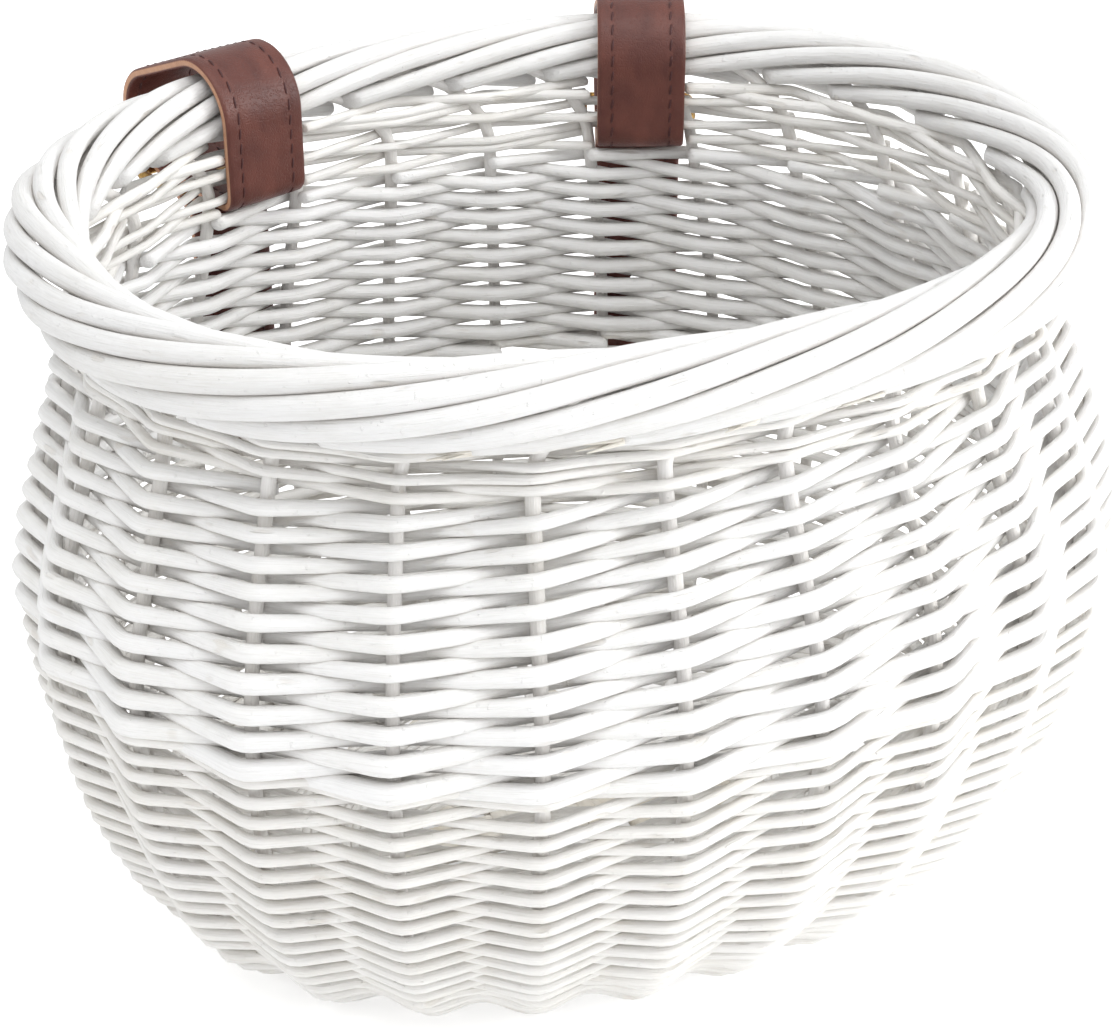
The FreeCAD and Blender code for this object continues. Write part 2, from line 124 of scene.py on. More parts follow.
def evenly_spaced_turns(section, count):
    """Turns that divide a section's outline into equal lengths."""
    turns = np.linspace(0, 360, 2881)
    points = outline(section, turns)
    travelled = np.concatenate([[0], np.cumsum(np.linalg.norm(np.diff(points, axis=0), axis=1))])
    return np.interp(travelled[-1] * (np.arange(count) + 0.5) / count, travelled, turns)


STAKE_TURNS = evenly_spaced_turns(BELLY, STAKES)


def turn_of(place):
    """Turn at a place counted in stakes, with fractions inside a bay."""
    whole = np.arange(-2 * STAKES, 6 * STAKES)
    turns = STAKE_TURNS[whole % STAKES] + 360.0 * (whole // STAKES)
    return np.interp(place, whole, turns)


def length_at_height(height):
    """Distance up the wall at a height."""
    return float(np.interp(height, WALL[:, 5], WALL[:, 0]))


# ---------------------------------------------------------------- rods

class Bundle:
    """Meshes of many rods, gathered to become one piece."""

    def __init__(self):
        self.points, self.faces, self.grain, self.tone = [], [], [], []
        self.count = 0

    def add(self, points, faces, grain, tone):
        self.points.append(points)
        self.faces += [tuple(i + self.count for i in face) for face in faces]
        self.grain.append(grain)
        self.tone.append(np.full(len(points), tone))
        self.count += len(points)

    def piece(self, name, material, slot, nodes=()):
        mesh = bpy.data.meshes.new(name)
        mesh.from_pydata((np.vstack(self.points) * MM).tolist(), [], self.faces)
        mesh.polygons.foreach_set("use_smooth", [True] * len(mesh.polygons))
        grain = mesh.attributes.new("grain", "FLOAT_VECTOR", "POINT")
        grain.data.foreach_set("vector", np.vstack(self.grain).astype(np.float32).ravel())
        tone = mesh.attributes.new("tone", "FLOAT", "POINT")
        tone.data.foreach_set("value", np.concatenate(self.tone).astype(np.float32))
        mesh.materials.append(material)
        mesh.update()
        piece = bpy.data.objects.new(name, mesh)
        bpy.context.scene.collection.objects.link(piece)
        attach(piece, "basket")
        if nodes:
            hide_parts(*nodes)
        return piece


def smoothed(path, passes):
    """A path with its corners softened, its two ends kept."""
    for _ in range(passes):
        inner = (path[:-2] + 2 * path[1:-1] + path[2:]) / 4
        path = np.vstack([path[:1], inner, path[-1:]])
    return path


def drift(count, every, size):
    """A slow random wander, one value for each of count points."""
    knots = random.normal(0, size, max(int(count / every) + 3, 4))
    places = np.linspace(0, len(knots) - 1.001, count)
    low = places.astype(int)
    share = places - low
    share = share * share * (3 - 2 * share)
    return knots[low] * (1 - share) + knots[np.minimum(low + 1, len(knots) - 1)] * share


END_SIZE = 0.7                  # a rod's cut end, as a share of its radius
END_BULGE = 0.25                # how far that end stands out, as a share of its radius


def add_rod(bundle, path, radius, flatness=None, sides=10, reference=(0, 0, 1), cuts=(0.4, 0.4)):
    """A rod along a path. Flatness is its height as a share of its width, and cuts are its ends' slants."""
    count = len(path)
    radius = np.broadcast_to(radius, count)
    flatness = np.ones(count) if flatness is None else flatness
    ahead = normalised(np.gradient(path, axis=0))
    across = normalised(np.cross(ahead, np.broadcast_to(reference, path.shape)))
    up = np.cross(across, ahead)
    angles = np.arange(sides) * 2 * math.pi / sides
    c, s = np.cos(angles), np.sin(angles)
    travelled = np.concatenate([[0], np.cumsum(np.linalg.norm(np.diff(path, axis=0), axis=1))])
    rings, grains = [], []
    offset = random.uniform(0, 900)

    def ring(k, size, shift, slant):
        middle = path[k] + ahead[k] * shift
        spoke = c[:, None] * across[k] + (flatness[k] * s)[:, None] * up[k]
        lean = slant * radius[k] * size * c[:, None] * ahead[k]
        rings.append(middle + radius[k] * size * spoke + lean)
        grains.append(np.column_stack([np.full(sides, travelled[k] + shift + offset),
                                       radius[k] * c * size, radius[k] * s * size + offset]))

    ring(0, END_SIZE, -END_BULGE * radius[0], cuts[0])
    for k in range(count):
        slant = cuts[0] if k == 0 else cuts[1] if k == count - 1 else 0
        ring(k, 1.0, 0, slant)
    ring(count - 1, END_SIZE, END_BULGE * radius[-1], cuts[1])
    total = len(rings)
    faces = []
    for k in range(total - 1):
        for j in range(sides):
            n = (j + 1) % sides
            faces.append((k * sides + j, k * sides + n, (k + 1) * sides + n, (k + 1) * sides + j))
    faces.append(tuple(range(sides))[::-1])
    faces.append(tuple((total - 1) * sides + j for j in range(sides)))
    bundle.add(np.vstack(rings), faces, np.vstack(grains), random.uniform(0, 1))


SAMPLES = 13                    # points of a weaver's path in each bay


def weaver_path(first, levels, reach, goes_inside, wander=0.35, sag=0.0):
    """Straight runs from outside one stake to inside another, softened where they bend."""
    stakes = first + np.arange(len(levels))
    points, normals, ups = on_wall(levels, turn_of(stakes))
    side = np.array([-1.0 if goes_inside(k) else 1.0 for k in range(len(levels))])
    places = np.linspace(0, len(levels) - 1, (len(levels) - 1) * SAMPLES + 1)
    whole = np.arange(len(levels))

    def between(values):
        return np.stack([np.interp(places, whole, values[:, k]) for k in range(3)], -1)

    count = len(places)
    push = np.interp(places, whole, side) * reach
    push = push - sag * np.maximum(np.interp(places, whole, side), 0) * np.sin(math.pi * places) ** 2
    outwards = normalised(between(normals))
    path = between(points) + outwards * (push + drift(count, SAMPLES * 1.3, wander * 0.5))[:, None]
    path = path + between(ups) * drift(count, SAMPLES * 1.6, wander)[:, None]
    return smoothed(path, 1), places


def every_second(k):
    return k % 2 == 0


def every_first(k):
    return k % 2 == 1


def every_third(k):
    return k % 3 == 2


STAKE_RADIUS = 1.95
LOWER_START = 44.6
LOWER_STEP = 3.3
LOWER_BAYS = 26
UPPER_BAYS = 19
UPPER_FIRST_STEP = 3.85
UPPER_LAST_STEP = 3.5
SLOT_ABOVE_WEAVERS = 7.5
FILL_LEVELS = [2.6, 4.9, 20.6, 22.8]        # rows above the highest weaver that the frame leaves out
FILL_RADIUS = 1.6
WALE_GAP = 0.6                  # between a stake and a waling rod
FLATTENED = 0.14                # a weaver is this much flatter half way between stakes


def lower_levels():
    return LOWER_START + LOWER_STEP * np.arange(LOWER_BAYS + 1.0)


def upper_levels():
    start = LOWER_START + LOWER_STEP * LOWER_BAYS + (LOWER_STEP + UPPER_FIRST_STEP) / 2
    steps = np.linspace(UPPER_FIRST_STEP, UPPER_LAST_STEP, UPPER_BAYS)
    return start + np.concatenate([[0], np.cumsum(steps)])


def side_of(index):
    return SIDES[(index * 4 + STAKES // 2) // STAKES % 4]


def bundles_by_side():
    return {side: Bundle() for side in SIDES}


def finish_by_side(bundles, name, material, slot):
    for side, bundle in bundles.items():
        bundle.piece(name + "_willow_" + side, material, slot, [name + "_" + side])


def run_on_behind(levels):
    """Weavers start and end behind a stake, one bay beyond the frame's."""
    first = [2 * levels[0] - levels[1]]
    last = [2 * levels[-1] - levels[-2]] if len(levels) % 2 else []
    return np.concatenate([first, levels, last])


def french_rand(name, first, levels, butt, tip, reach, material, slot):
    """One weaver for each stake, all woven together, each a little thinner towards its tip."""
    bundles = bundles_by_side()
    for i in range(STAKES):
        path, places = weaver_path(i + first - 1, run_on_behind(levels), reach, every_second)
        share = places / places[-1]
        radius = butt + (tip - butt) * share
        radius = radius * random.uniform(0.94, 1.06) * (1 + drift(len(path), 10, 0.03))
        pinch = 1 - FLATTENED * np.sin(math.pi * places) ** 2
        add_rod(bundles[side_of(i)], path, radius, pinch, sides=12)
    finish_by_side(bundles, name, material, slot)


def wale(name, start, step, rows, radius, sag, material):
    """Level rows, in front of two stakes and behind the third."""
    bundle = Bundle()
    for row in range(rows):
        levels = np.full(STAKES + 1, start + step * row)
        path, _ = weaver_path(row, levels, STAKE_RADIUS + radius + WALE_GAP, every_third, 0.2, sag)
        size = radius * random.uniform(0.92, 1.1) * (1 + drift(len(path), 12, 0.04))
        add_rod(bundle, path[:-2], size[:-2], sides=8)
    bundle.piece(name + "_willow", material, "fine_willow", [name])


def fill_up_to_border(material):
    """Extra rows in front, beside and behind, that leave the straps' two bays open."""
    top = upper_levels()[-1]
    bundle = Bundle()
    for row, level in enumerate(FILL_LEVELS):
        for first, last in ((STRAP_BAYS["right"] + 1, STRAP_BAYS["left"]),
                            (STRAP_BAYS["left"] + 1, STRAP_BAYS["right"] + STAKES)):
            levels = np.full(last - first + 1, top + level)
            goes_inside = every_first if row % 2 else every_second
            path, _ = weaver_path(first, levels, STAKE_RADIUS + FILL_RADIUS + 0.2, goes_inside)
            radius = FILL_RADIUS * random.uniform(0.9, 1.1) * (1 + drift(len(path), 9, 0.05))
            add_rod(bundle, path, radius, sides=10)
    bundle.piece("rows_under_border", material, "fine_willow")


# ---------------------------------------------------------------- border and stakes

BORDER_RING = 9.0               # radius of the ring of rods in the border's section
BORDER_SPACING = 41.0           # degrees that a rod climbs round the border in each bay
BORDER_START = -52.0            # degrees round the border where a rod starts
BORDER_BUTT = 3.35              # a border rod's radius where it starts
BORDER_TAPER = 0.75
SPLIT_RODS = [16, 17, 18, 19]
SPLINTERS_EACH = 4
TURNED_IN_HEIGHT = 205.0        # stakes leave the wall here and turn into the border


def in_border(places, angles, ring):
    """Points in the rolled border at places counted in stakes, at angles round it from its outer side."""
    turns = turn_of(places)
    middle = outline(RIM, turns)
    along = outline(RIM, turns + 0.5) - outline(RIM, turns - 0.5)
    outwards = normalised(np.stack([along[:, 1], -along[:, 0], 0 * turns], -1))
    a = np.radians(angles)
    lift = np.stack([0 * a, 0 * a, ring * np.sin(a)], -1)
    return middle + outwards * (ring * np.cos(a))[:, None] + lift


def border_rods(material):
    """Thick rods that climb side by side round the rim, like the strands of a rope."""
    bundles = bundles_by_side()
    for i in range(STAKES):
        start, end = -0.45, 6.35 + random.uniform(-0.35, 0.25)
        bays = np.linspace(start, end, int((end - start) * 9))
        angles = BORDER_START + BORDER_SPACING * bays + drift(len(bays), 12, 1.4)
        ring = BORDER_RING + drift(len(bays), 10, 0.22)
        path = in_border(i + bays, angles, ring)
        share = (bays - start) / (end - start)
        radius = (BORDER_BUTT - BORDER_TAPER * share) * random.uniform(0.95, 1.05)
        radius = radius * (1 + drift(len(bays), 9, 0.02))
        add_rod(bundles[side_of(i)], path, radius, sides=16, cuts=(0.9, 1.1))
    finish_by_side(bundles, "border_rods", material, "border_willow")


def splinters(material):
    """Thin slivers torn from the butts of the border rods in front, where each was bent sharply."""
    bundle = Bundle()
    for i in SPLIT_RODS:
        for _ in range(SPLINTERS_EACH):
            bays = np.linspace(-0.4, -0.4 - random.uniform(0.16, 0.32), 7)
            share = np.linspace(0, 1, 7)
            angles = BORDER_START + random.uniform(-16, 2) + random.uniform(-14, 4) * share
            ring = BORDER_RING + random.uniform(1.6, 3.2) + random.uniform(0.0, 2.0) * share
            radius = random.uniform(0.5, 0.95) * (1 - 0.8 * share)
            add_rod(bundle, in_border(i + bays, angles, ring), radius, sides=6)
    bundle.piece("border_splinters", material, "border_willow")


def stakes(material):
    """Uprights that bend over at the top and run on inside the border."""
    bundles = bundles_by_side()
    top = length_at_height(TURNED_IN_HEIGHT)
    for i in range(STAKES):
        lengths = np.linspace(0, top, 44)
        turns = STAKE_TURNS[i] + drift(44, 12, 0.12)
        wall, _, _ = on_wall(lengths, turns)
        edge = wall[0]
        foot = edge + normalised(stick_start(i + 2) - edge) * np.linspace(8, 2, 3)[:, None]
        inside_border = in_border(i + np.linspace(0.45, 2.6, 12), np.linspace(200, 60, 12), 3.2)
        path = smoothed(np.vstack([foot, wall, inside_border]), 3)
        turn = math.radians(STAKE_TURNS[i])
        up = np.array([math.cos(turn), math.sin(turn), 0.35])
        radius = STAKE_RADIUS * random.uniform(0.94, 1.06) * (1 + drift(len(path), 8, 0.03))
        add_rod(bundles[side_of(i)], path, radius, sides=12, reference=up)
    finish_by_side(bundles, "stakes", material, "stake_willow")


# ---------------------------------------------------------------- woven base

LONG_STICKS = 4
CROSS_STICKS = 8
LONG_STICK_PITCH = 4.4
CROSS_STICK_PITCH = 14.0
LONG_STICK_SPREAD = 54.5
CROSS_STICK_SPREAD = 11.8
BASE_ROUNDS = 16
PAIRING_RADIUS = 1.45
STICK_BESIDE_STAKE = 6.9        # a stick's end lies this far beside its stake


def stick_start(place):
    """Where a base stick leaves the bundle, as in the frame."""
    side, order = divmod(place % STAKES, STAKES // 2)
    facing = 1 if side == 0 else -1
    middle_y = MIDDLE_Y + BASE[2]
    if order < LONG_STICKS:
        across = (order - (LONG_STICKS - 1) / 2) * LONG_STICK_PITCH
        return np.array([facing * LONG_STICK_SPREAD, middle_y + facing * across, BASE[4]])
    across = ((CROSS_STICKS - 1) / 2 - (order - LONG_STICKS)) * CROSS_STICK_PITCH
    return np.array([facing * across, middle_y + facing * CROSS_STICK_SPREAD, BASE[4]])


def half_stick(place):
    """The two ends of a stick's straight length from the bundle to the base's edge."""
    start = stick_start(place)
    edge, _, _ = on_wall(0.0, turn_of(place - LONG_STICKS // 2))
    inwards = normalised(start - edge)
    sideways = np.cross((0, 0, 1), inwards)
    return start, edge + inwards * 4.0 + sideways * STICK_BESIDE_STAKE


def base_pairing(material):
    """Two rods that twist round each other between the sticks, spiralling out to the base's edge."""
    bundle = Bundle()
    sticks = [half_stick(place) for place in range(STAKES)]
    for start in (0, 1):
        points = []
        for k in range(BASE_ROUNDS * STAKES + 1):
            share = 0.06 + 0.92 * k / (BASE_ROUNDS * STAKES)
            inner, outer = sticks[k % STAKES]
            lift = 4.6 if (k + start) % 2 else -4.4
            points.append(inner + (outer - inner) * share + np.array([0, 0, lift]))
        corners = np.array(points)
        places = np.linspace(0, len(corners) - 1, (len(corners) - 1) * 5 + 1)
        path = np.stack([np.interp(places, np.arange(len(corners)), corners[:, c]) for c in range(3)], -1)
        add_rod(bundle, smoothed(path, 2), PAIRING_RADIUS * (1 + drift(len(path), 20, 0.05)), sides=8)
    bundle.piece("base_pairing_willow", material, "base_willow", ["base_pairing_rods"])


# ---------------------------------------------------------------- straps

STRAP_HALF_WIDTH = 14.0
STRAP_THICKNESS = 3.0
ARCH_RADIUS = 16.0
BAR_RADIUS = 12.7

# A strap's own frame has y outwards from the rim's middle, and z up.
BAR = np.array([26.0, 209.5])
RIM_CENTRE = np.array([0.0, 218.0])
HINGE = np.array([8.0, 191.3])
TAIL_OFFSET = 6.0
TAIL_BOTTOM = 98.0
TIP_RADIUS = 11.0               # round corners at the tail's end
RUN_SLOPE = 26.6                # leather's fall from the bar to the buckle
FIRST_HOLE = 24.0               # above the tail's end
HOLE_PITCH = 12.0
HOLE_RADIUS = 2.2
HOLES = 5
SLOT_HALF_WIDTH = 2.0           # the prong's slot, and where it lies from the hinge
SLOT_REACH = np.array([0.9, 16.5])
SLOT_DEPTH = np.array([-10.8, 1.6])
RING_HALF_WIDTH = 2.5           # the space that the prong's ring turns in
RING_REACH = np.array([-4.7, 4.7])
STITCH_LINE = 9.3               # from the leather's middle
STITCH_PITCH = 4.7
STITCH_LENGTH = 3.5


def arc(centre, radius, start, end):
    """Points of an arc, about one each 0.8 mm."""
    count = max(int(abs(math.radians(end - start)) * radius / 0.8), 4)
    angle = np.radians(np.linspace(start, end, count + 1))
    return np.stack([centre[0] + radius * np.cos(angle), centre[1] + radius * np.sin(angle)], -1)


def filleted(before, corner, after, radius):
    """Points of a corner rounded with an arc."""
    before, corner, after = (np.array(p, float) for p in (before, corner, after))
    back, ahead = normalised(before - corner), normalised(after - corner)
    half = math.acos(np.clip(back @ ahead, -1, 1)) / 2
    centre = corner + normalised(back + ahead) * radius / math.sin(half)
    reach = radius / math.tan(half)
    a, b = corner + back * reach - centre, corner + ahead * reach - centre
    start, end = (math.degrees(math.atan2(v[1], v[0])) for v in (a, b))
    end += 360 * round((start - end) / 360)
    return arc(centre, radius, start, end)


def strap_path():
    """The leather's middle line, from its folded end at the buckle to its tip, in the frame's own shape."""
    bar_path = BAR_RADIUS + STRAP_THICKNESS / 2
    towards = BAR - RIM_CENTRE
    lean = math.degrees(math.atan2(towards[1], towards[0]))
    top = lean + math.degrees(math.acos((ARCH_RADIUS - bar_path) / np.linalg.norm(towards)))
    leave = RUN_SLOPE - 90
    fold = arc(HINGE, 2.75, -95, 95)
    inner = [(5.0, 192.9), (2.0, 191.9), (-3.0, 191.5), (-9.0, 191.3)]
    turn_up = filleted((-9, 191.3), (-ARCH_RADIUS, 191.3), (-ARCH_RADIUS, 218), 4.5)
    over = arc(RIM_CENTRE, ARCH_RADIUS, 180, top)
    round_bar = arc(BAR, bar_path, top, leave)
    run_start = round_bar[-1]
    fall = math.tan(math.radians(RUN_SLOPE))
    corner = (TAIL_OFFSET, run_start[1] - (run_start[0] - TAIL_OFFSET) * fall)
    turn_down = filleted(run_start, corner, (TAIL_OFFSET, TAIL_BOTTOM), 3.4)
    points = [[(-4.0, 189.3), (1.0, 189.1), (5.0, 188.8)], fold, inner, turn_up, over, round_bar, turn_down,
              [(TAIL_OFFSET, TAIL_BOTTOM)]]
    corners = np.vstack([np.array(p, float) for p in points])
    steps = np.concatenate([[0], np.cumsum(np.linalg.norm(np.diff(corners, axis=0), axis=1))])
    keep = np.concatenate([[True], np.diff(steps) > 1e-6])
    travelled = np.arange(0, steps[-1] + 0.5, 0.9)
    travelled = np.minimum(travelled, steps[-1])
    path = np.stack([np.interp(travelled, steps[keep], corners[keep][:, c]) for c in range(2)], -1)
    return smoothed(path, 1), travelled


STRAP_PATH, STRAP_TRAVELLED = strap_path()
SKIVED_LENGTH = 22.0            # the folded end is pared thinner over this length


def leather_half_thickness(travelled):
    """Half the leather's thickness, pared towards the folded end."""
    return np.interp(travelled, [0, SKIVED_LENGTH, SKIVED_LENGTH + 12], [0.75, 0.95, STRAP_THICKNESS / 2])


def strap_faces():
    """The way that the finished face looks, at each point of the strap's path."""
    ahead = normalised(np.gradient(STRAP_PATH, axis=0))
    return np.stack([-ahead[:, 1], ahead[:, 0]], -1)


def strap_half_width(travelled):
    """Full width, drawn in with round corners at the tip."""
    into_tip = np.clip(travelled - (STRAP_TRAVELLED[-1] - TIP_RADIUS), 0, TIP_RADIUS - 0.1)
    return STRAP_HALF_WIDTH - TIP_RADIUS + np.sqrt(TIP_RADIUS ** 2 - into_tip ** 2)


def strap_profile():
    """Outline of the leather's section: across and through, both from -1 to 1, and edge or not."""
    across = np.linspace(-1, 1, 37)[1:-1]
    groove = 0.16 * np.exp(-((np.abs(across) * STRAP_HALF_WIDTH - STITCH_LINE) / 0.8) ** 2)
    crown = 1 - 0.10 * across ** 8 - groove
    face = [(a, c, 0.0) for a, c in zip(across, crown)]
    edge = [(1.0 - 0.006, 0.62, 0.6), (1.0, 0.25, 1.0), (1.0, -0.25, 1.0), (1.0 - 0.006, -0.62, 0.6)]
    back = [(a, -c, 0.0) for a, c in zip(across[::-1], crown[::-1])]
    other = [(-a, -b, e) for a, b, e in edge]
    return np.array(face + edge + back + other)


def to_basket(station, across, y, z):
    """Points of a strap's own frame in the frame of the basket."""
    place, angle = station
    c, s = math.cos(angle), math.sin(angle)
    return np.stack([place[0] + c * across - s * y, place[1] + s * across + c * y, z + 0 * y], -1)


def strap_station(side):
    """Where a strap crosses the rim, and how far it is turned."""
    turn = (turn_of(STRAP_BAYS[side]) + turn_of(STRAP_BAYS[side] + 1)) / 2
    along = outline(RIM, turn - 0.5) - outline(RIM, turn + 0.5)
    return outline(RIM, turn)[:2], math.atan2(along[1], along[0])


def strap_leather(side, material):
    """One piece of leather from the fold at the buckle, over the border and the bar, to the tail's tip."""
    profile = strap_profile()
    station = strap_station(side)
    face = strap_faces()
    half = leather_half_thickness(STRAP_TRAVELLED)
    width = strap_half_width(STRAP_TRAVELLED)
    points, grain, edge = [], [], []
    for k, middle in enumerate(STRAP_PATH):
        across = profile[:, 0] * width[k]
        through = profile[:, 1] * half[k]
        y = middle[0] + face[k, 0] * through
        z = middle[1] + face[k, 1] * through
        points.append(to_basket(station, across, y, z))
        grain.append(np.stack([across, STRAP_TRAVELLED[k] + 0 * across, through], -1))
        edge.append(profile[:, 2])
    sides = len(profile)
    faces = grid_faces(len(points), sides)
    piece = new_object("strap_leather_" + side, np.vstack(points), faces, material)
    mesh = piece.data
    mesh.attributes.new("grain", "FLOAT_VECTOR", "POINT").data.foreach_set(
        "vector", np.vstack(grain).astype(np.float32).ravel())
    mesh.attributes.new("edge", "FLOAT", "POINT").data.foreach_set(
        "value", np.concatenate(edge).astype(np.float32))
    cut_leather(piece, station)
    bend_tail(piece)
    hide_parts("strap_" + side, "strap_tail_" + side)


def grid_faces(rings, sides):
    """Faces of a closed tube made of rings of points."""
    faces = []
    for k in range(rings - 1):
        for j in range(sides):
            n = (j + 1) % sides
            faces.append((k * sides + j, (k + 1) * sides + j, (k + 1) * sides + n, k * sides + n))
    faces.append(tuple(range(sides)))
    faces.append(tuple((rings - 1) * sides + j for j in range(sides))[::-1])
    return faces


def new_object(name, points, faces, material, smooth=True):
    mesh = bpy.data.meshes.new(name)
    mesh.from_pydata((points * MM).tolist(), [], faces)
    mesh.polygons.foreach_set("use_smooth", [smooth] * len(mesh.polygons))
    mesh.materials.append(material)
    mesh.update()
    made = bpy.data.objects.new(name, mesh)
    bpy.context.scene.collection.objects.link(made)
    return made


def bend_tail(piece):
    """Bakes the piece's placement into its mesh; the leather is not bent here."""
    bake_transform(piece)


def cutter(points, faces):
    return new_object("cutter", np.array(points, float), faces, RAW_LEATHER, smooth=False)


def box_cutter(station, half_width, y, z):
    corners = [(sx * half_width, y[i], z[j]) for sx in (-1, 1) for i in (0, 1) for j in (0, 1)]
    points = np.vstack([to_basket(station, a, np.array(b), c) for a, b, c in corners])
    faces = [(0, 1, 3, 2), (4, 6, 7, 5), (0, 4, 5, 1), (2, 3, 7, 6), (0, 2, 6, 4), (1, 5, 7, 3)]
    return cutter(points, faces)


def hole_cutter(station, z, radius):
    sides = 20
    angles = np.arange(sides) * 2 * math.pi / sides
    rings = [to_basket(station, radius * np.cos(angles), np.full(sides, TAIL_OFFSET + d),
                       z + radius * np.sin(angles)) for d in (-4, 4)]
    return cutter(np.vstack(rings), grid_faces(2, sides))


SAME_PLACE = 0.001              # points closer than this are one point


def merge_doubled_points(mesh):
    """Joins the points that cutting leaves on top of each other, so that the mesh stays closed."""
    shape = bmesh.new()
    shape.from_mesh(mesh)
    bmesh.ops.remove_doubles(shape, verts=shape.verts, dist=SAME_PLACE * MM)
    shape.to_mesh(mesh)
    shape.free()


def cut_leather(piece, station):
    """Holes for the prong, its slot, and the space its ring turns in."""
    cutters = [box_cutter(station, SLOT_HALF_WIDTH, HINGE[0] + SLOT_REACH, HINGE[1] + SLOT_DEPTH),
               box_cutter(station, RING_HALF_WIDTH, HINGE[0] + RING_REACH, HINGE[1] + RING_REACH)]
    lowest = TAIL_BOTTOM + FIRST_HOLE
    cutters += [hole_cutter(station, lowest + HOLE_PITCH * k, HOLE_RADIUS) for k in range(HOLES)]
    for tool in cutters:
        cut = piece.modifiers.new("cut", "BOOLEAN")
        cut.operation = "DIFFERENCE"
        cut.solver = "EXACT"
        cut.object = tool
    bpy.context.view_layer.update()
    shape = piece.evaluated_get(bpy.context.evaluated_depsgraph_get())
    mesh = bpy.data.meshes.new_from_object(shape)
    merge_doubled_points(mesh)
    piece.modifiers.clear()
    piece.data = mesh
    for tool in cutters:
        bpy.data.objects.remove(tool)


def stitches(side, material):
    """Thread in two lines, showing on both faces of the leather."""
    station = strap_station(side)
    face = strap_faces()
    half = leather_half_thickness(STRAP_TRAVELLED)
    sides = 6
    around = np.arange(sides) * 2 * math.pi / sides
    points, faces = [], []
    first, last = SKIVED_LENGTH + 6, STRAP_TRAVELLED[-1] - 12
    for number in range(int((last - first) / STITCH_PITCH)):
        start = first + number * STITCH_PITCH
        for column in (-STITCH_LINE, STITCH_LINE):
            for show in (1, -1):
                rings = []
                for share, size in ((0, 0.25), (0.12, 0.75), (0.5, 1.0), (0.88, 0.75), (1, 0.25)):
                    place = start + share * STITCH_LENGTH
                    y, z = (np.interp(place, STRAP_TRAVELLED, STRAP_PATH[:, c]) for c in range(2))
                    out = [np.interp(place, STRAP_TRAVELLED, face[:, c]) for c in range(2)]
                    lift = show * (np.interp(place, STRAP_TRAVELLED, half) - 0.12 - 0.25 * (1 - size))
                    through = lift + 0.36 * size * np.sin(around)
                    slant = column + (share - 0.5) * 0.5
                    rings.append(to_basket(station, slant + 0.42 * size * np.cos(around),
                                           y + out[0] * through, z + out[1] * through))
                offset = len(points) * sides
                points += rings
                faces += [tuple(i + offset for i in f) for f in grid_faces(len(rings), sides)]
    piece = new_object("strap_stitches_" + side, np.vstack(points), faces, material)
    bend_tail(piece)


# ---------------------------------------------------------------- materials

def colour(r, g, b):
    """A linear colour from one written as 0 to 255."""
    def linear(v):
        v /= 255
        return v / 12.92 if v <= 0.04045 else ((v + 0.055) / 1.055) ** 2.4
    return linear(r), linear(g), linear(b), 1.0


class Shader:
    """A material's nodes, made and joined in one call each."""

    def __init__(self, name):
        self.material = bpy.data.materials.new(name)
        self.material.use_nodes = True
        self.nodes = self.material.node_tree.nodes
        self.links = self.material.node_tree.links
        self.surface = self.nodes["Principled BSDF"]

    def node(self, kind, **inputs):
        made = self.nodes.new("ShaderNode" + kind)
        for name, value in inputs.items():
            self.set(made, name.replace("_", " "), value)
        return made

    def set(self, node, name, value):
        """Gives an input, by name or number, a value or another node's output."""
        if isinstance(value, bpy.types.NodeSocket):
            self.links.new(value, node.inputs[name])
        else:
            node.inputs[name].default_value = value

    def attribute(self, name):
        node = self.nodes.new("ShaderNodeAttribute")
        node.attribute_name = name
        return node

    def maths(self, operation, a, b=0.0):
        node = self.nodes.new("ShaderNodeMath")
        node.operation = operation
        for index, value in enumerate((a, b)):
            self.set(node, index, value)
        return node.outputs[0]

    def mix(self, share, a, b):
        node = self.nodes.new("ShaderNodeMix")
        node.data_type = "RGBA"
        for index, value in ((0, share), (6, a), (7, b)):
            self.set(node, index, value)
        return node.outputs[2]

    def stretched(self, vector, scale):
        node = self.nodes.new("ShaderNodeMapping")
        self.links.new(vector, node.inputs["Vector"])
        node.inputs["Scale"].default_value = scale
        return node.outputs["Vector"]

    def noise(self, vector, scale, detail=3.0, rough=0.5):
        made = self.node("TexNoise", Vector=vector, Scale=scale, Detail=detail, Roughness=rough)
        return made.outputs["Fac"]

    def ramp(self, value, low, high):
        node = self.node("MapRange", Value=value, From_Min=low, From_Max=high)
        return node.outputs[0]

    def bump(self, height, distance, strength=1.0, normal=None):
        node = self.node("Bump", Height=height, Distance=distance, Strength=strength)
        if normal is not None:
            self.links.new(normal, node.inputs["Normal"])
        return node.outputs["Normal"]


